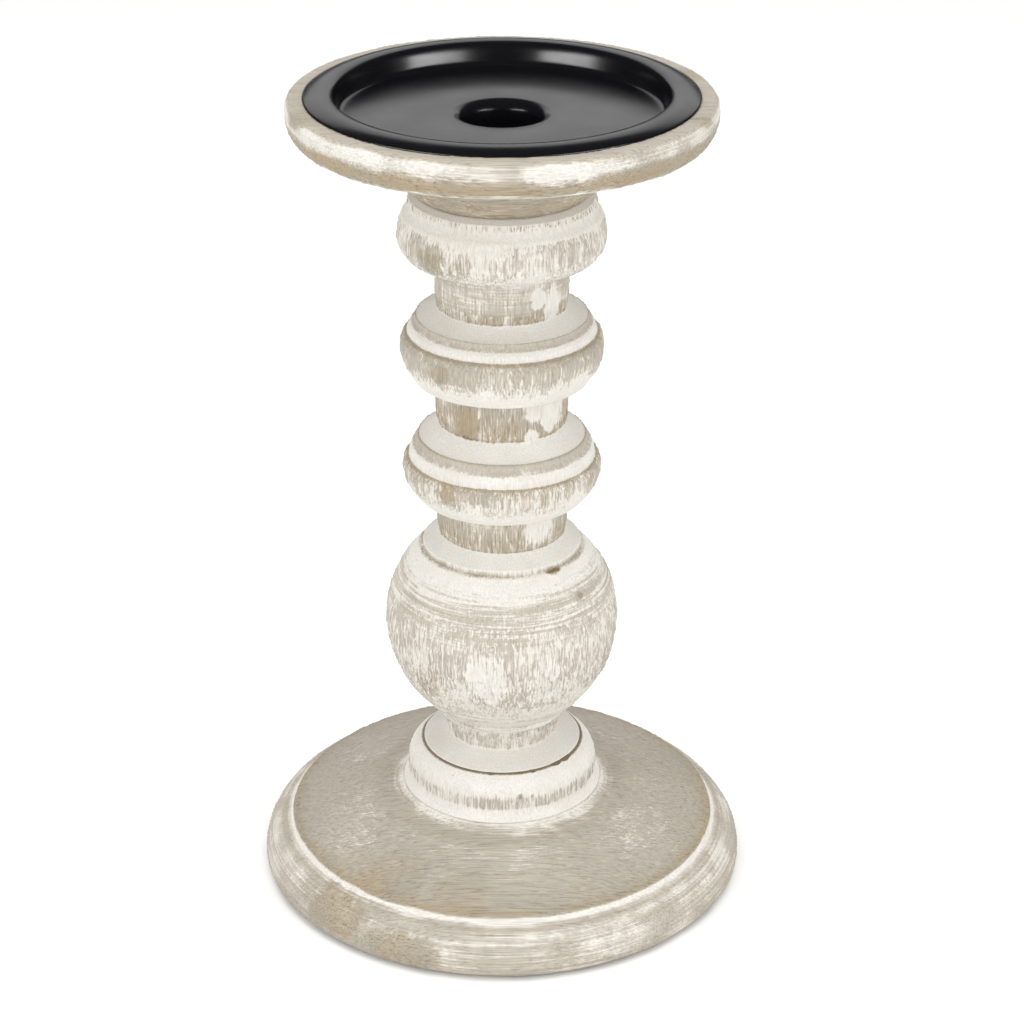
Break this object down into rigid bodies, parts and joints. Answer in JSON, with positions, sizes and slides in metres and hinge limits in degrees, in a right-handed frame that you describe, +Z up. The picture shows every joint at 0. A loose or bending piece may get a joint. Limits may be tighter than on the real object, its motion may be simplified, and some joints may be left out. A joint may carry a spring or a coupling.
{
  "type": "candlestick",
  "caption": "Turned wooden candlestick: round base, beaded column and ball, and a dished plate with a lift-out steel tray that takes a pillar or a taper candle.",
  "frame": {"origin": "middle of the felt pad's underside, on the surface the candlestick stands on", "axes": "+Z up along the turned axis, towards the candle; X and Y are level, and the part is turned about +Z except for three screws"},
  "size_m": [0.1538, 0.1538, 0.2575],
  "materials": {
    "column_wood": "whitewashed, brushed back to the grain",
    "face_grain_wood": "whitewashed face grain, worn",
    "black_tray": "satin black powder coat",
    "zinc_steel": "bright zinc plate",
    "felt": "pressed felt"
  },
  "bodies": {
    "candlestick": {"felt_pad": "felt", "base_disc": "face_grain_wood", "foot_collar": "column_wood", "ball_spindle": "column_wood", "middle_spindle": "column_wood", "upper_spindle": "column_wood", "top_plate": "face_grain_wood", "tie_rod": "zinc_steel", "bottom_washer": "zinc_steel", "bottom_nut": "zinc_steel", "top_washer": "zinc_steel", "top_nut": "zinc_steel", "plate_screws": "zinc_steel"},
    "tray": {"candle_tray": "black_tray"}
  },
  "joints": [
    {"name": "tray_lift", "type": "slide", "parent": "candlestick", "child": "tray", "axis": [0, 0, 1], "range_m": [0, 0.03]}
  ]
}
